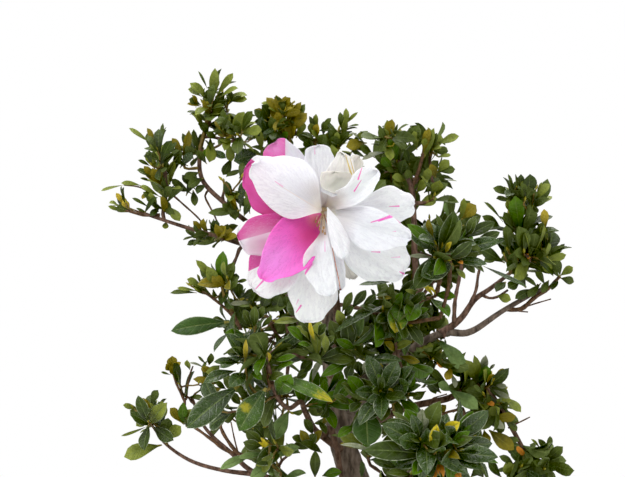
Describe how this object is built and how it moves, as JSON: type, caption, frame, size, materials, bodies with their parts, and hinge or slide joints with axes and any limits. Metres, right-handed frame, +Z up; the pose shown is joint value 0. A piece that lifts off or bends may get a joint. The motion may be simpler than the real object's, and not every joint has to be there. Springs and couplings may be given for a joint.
{
  "type": "potted azalea shrub",
  "caption": "Small evergreen azalea shrub with a leaning trunk, open tiers of dark green leaves and one large white and pink double bloom, in a plain round pot.",
  "frame": {"origin": "middle of the pot's flat underside", "axes": "+Z up along the plant, +X to the right and +Y away from someone who faces the bloom"},
  "size_m": [0.2059, 0.1975, 0.2978],
  "materials": {
    "leaf": "satin",
    "bark": "matte",
    "petal": "satin",
    "stoneware": "matte",
    "soil": "matte"
  },
  "bodies": {
    "root": {"bloom": "petal", "bough_back_left": "bark", "bough_back_right": "bark", "bough_front": "bark", "bough_left": "bark", "bough_low_left": "bark", "bough_low_left_long": "bark", "bough_low_left_outer": "bark", "bough_low_right": "bark", "bough_low_right_outer": "bark", "bough_right": "bark", "bough_right_rising": "bark", "bough_right_tall": "bark", "bough_top": "bark", "bough_top_left": "bark", "foliage_back_1_1": "leaf", "foliage_back_1_2": "leaf", "foliage_back_2_1": "leaf", "foliage_back_2_2": "leaf", "foliage_back_3_1": "leaf", "foliage_back_3_2": "leaf", "foliage_back_4_1": "leaf", "foliage_back_4_2": "leaf", "foliage_beside_bloom": "leaf", "foliage_bottom_front": "leaf", "foliage_bottom_left": "leaf", "foliage_front_left": "leaf", "foliage_front_low_left": "leaf", "foliage_front_low_right": "leaf", "foliage_front_middle": "leaf", "foliage_front_middle_left": "leaf", "foliage_heart": "leaf", "foliage_heart_low": "leaf", "foliage_left_by_bloom": "leaf", "foliage_left_inner": "leaf", "foliage_left_middle": "leaf", "foliage_left_shoulder": "leaf", "foliage_left_tip": "leaf", "foliage_left_under": "leaf", "foliage_left_upper": "leaf", "foliage_low_left": "leaf", "foliage_low_left_tip": "leaf", "foliage_mid_left": "leaf", "foliage_right_bottom": "leaf", "foliage_right_front": "leaf", "foliage_right_low": "leaf", "foliage_right_middle": "leaf", "foliage_right_neck": "leaf", "foliage_right_outer": "leaf", "foliage_right_top": "leaf", "foliage_skirt": "leaf", "foliage_top_dark": "leaf", "foliage_top_far_right": "leaf", "foliage_top_left": "leaf", "foliage_top_middle": "leaf", "foliage_top_right": "leaf", "foliage_under_bloom": "leaf", "pot": "stoneware", "soil": "soil", "trunk": "bark"}
  },
  "joints": []
}
